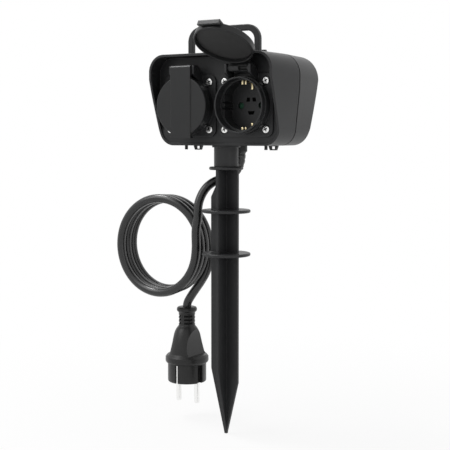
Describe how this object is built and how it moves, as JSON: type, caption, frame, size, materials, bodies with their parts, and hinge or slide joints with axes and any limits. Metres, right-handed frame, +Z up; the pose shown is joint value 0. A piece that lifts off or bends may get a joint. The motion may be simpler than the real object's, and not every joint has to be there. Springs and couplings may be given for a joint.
{
  "type": "garden socket spike with timer",
  "caption": "Garden socket post: a hooded dark head with covered earthed sockets and a day timer behind, a carrying handle, a finned ground spike, and a coiled cord with its plug.",
  "frame": {"origin": "On the spike's axis at the underside of its lowest ground collar, where it stands on the soil.", "axes": "+Z points up along the spike, +X to the right as the sockets face the viewer, and the sockets face -Y; the timer faces +Y."},
  "size_m": [0.1769, 0.1194, 0.336],
  "materials": {
    "housing": "fine grained satin charcoal",
    "lid": "smooth satin charcoal",
    "dark_plastic": "plain black",
    "pale_plastic": "light grey moulding",
    "tappet_plastic": "mid grey moulding",
    "seal_rubber": "soft black",
    "bright_screw": "bright plated",
    "steel": "turned",
    "nickel_pin": "nickel plated",
    "brass": "pressed strip",
    "shutter_green": "dark green moulding",
    "cord_rubber": "satin rubber",
    "clear_plastic": "clear polycarbonate"
  },
  "bodies": {
    "housing": {"cable_gland": "housing", "carry_handle": "housing", "contact_base_left": "dark_plastic", "contact_base_right": "dark_plastic", "contacts_left": "brass", "contacts_right": "brass", "cord_coil": "cord_rubber", "cord_lead": "cord_rubber", "cord_tail": "cord_rubber", "earth_clip_left": "brass", "earth_clip_right": "brass", "front_shell": "housing", "ground_spike": "housing", "hinge_pin_left": "dark_plastic", "hinge_pin_right": "dark_plastic", "housing_screws": "bright_screw", "housing_seal": "seal_rubber", "plug_body": "cord_rubber", "plug_earth_strips": "nickel_pin", "plug_pins": "nickel_pin", "rear_shell": "housing", "socket_left": "housing", "socket_right": "housing", "socket_screws": "bright_screw", "socket_seal_left": "seal_rubber", "socket_seal_right": "seal_rubber", "spike_sleeve": "housing", "terminal_block": "pale_plastic", "timer_back": "dark_plastic", "timer_body": "housing", "timer_cover_pin": "steel", "timer_microswitch": "dark_plastic", "timer_motor": "steel", "timer_pointer": "tappet_plastic", "timer_screws": "bright_screw"},
    "cover_left": {"cover_left": "lid", "cover_seal_left": "seal_rubber"},
    "cover_right": {"cover_right": "lid", "cover_seal_right": "seal_rubber"},
    "timer_dial": {"timer_dial": "pale_plastic", "timer_tappets": "tappet_plastic"},
    "timer_pinion": {"timer_pinion": "pale_plastic"},
    "timer_switch": {"timer_switch": "tappet_plastic"},
    "timer_cover": {"timer_cover": "clear_plastic"},
    "shutter_left": {"shutter_left": "shutter_green"},
    "shutter_right": {"shutter_right": "shutter_green"}
  },
  "joints": [
    {"name": "cover_left_hinge", "type": "hinge", "parent": "housing", "child": "cover_left", "pos_m": [-0.0263, -0.0218, 0.1515], "axis": [-1, 0, 0], "range_deg": [0, 120]},
    {"name": "cover_right_hinge", "type": "hinge", "parent": "housing", "child": "cover_right", "pos_m": [0.0263, -0.0218, 0.1515], "axis": [-1, 0, 0], "range_deg": [-120, 0]},
    {"name": "timer_dial_turn", "type": "hinge", "parent": "housing", "child": "timer_dial", "pos_m": [0, 0.038, 0.1225], "axis": [0, 1, 0], "continuous": true},
    {"name": "timer_pinion_turn", "type": "hinge", "parent": "housing", "child": "timer_pinion", "pos_m": [0, 0.032, 0.1375], "axis": [0, 1, 0], "continuous": true},
    {"name": "timer_switch_slide", "type": "slide", "parent": "housing", "child": "timer_switch", "axis": [1, 0, 0], "range_m": [0, 0.004]},
    {"name": "timer_cover_hinge", "type": "hinge", "parent": "housing", "child": "timer_cover", "pos_m": [0, 0.0405, 0.15], "axis": [1, 0, 0], "range_deg": [0, 115]},
    {"name": "shutter_left_turn", "type": "hinge", "parent": "housing", "child": "shutter_left", "pos_m": [-0.0263, 0, 0.1225], "axis": [0, 1, 0], "range_deg": [0, 40], "stiffness_Nm_per_rad": 0.0005},
    {"name": "shutter_right_turn", "type": "hinge", "parent": "housing", "child": "shutter_right", "pos_m": [0.0263, 0, 0.1225], "axis": [0, 1, 0], "range_deg": [0, 40], "stiffness_Nm_per_rad": 0.0005}
  ],
  "couplings": [
    {"joint": "timer_pinion_turn", "follows": "timer_dial_turn", "ratio": 6}
  ]
}
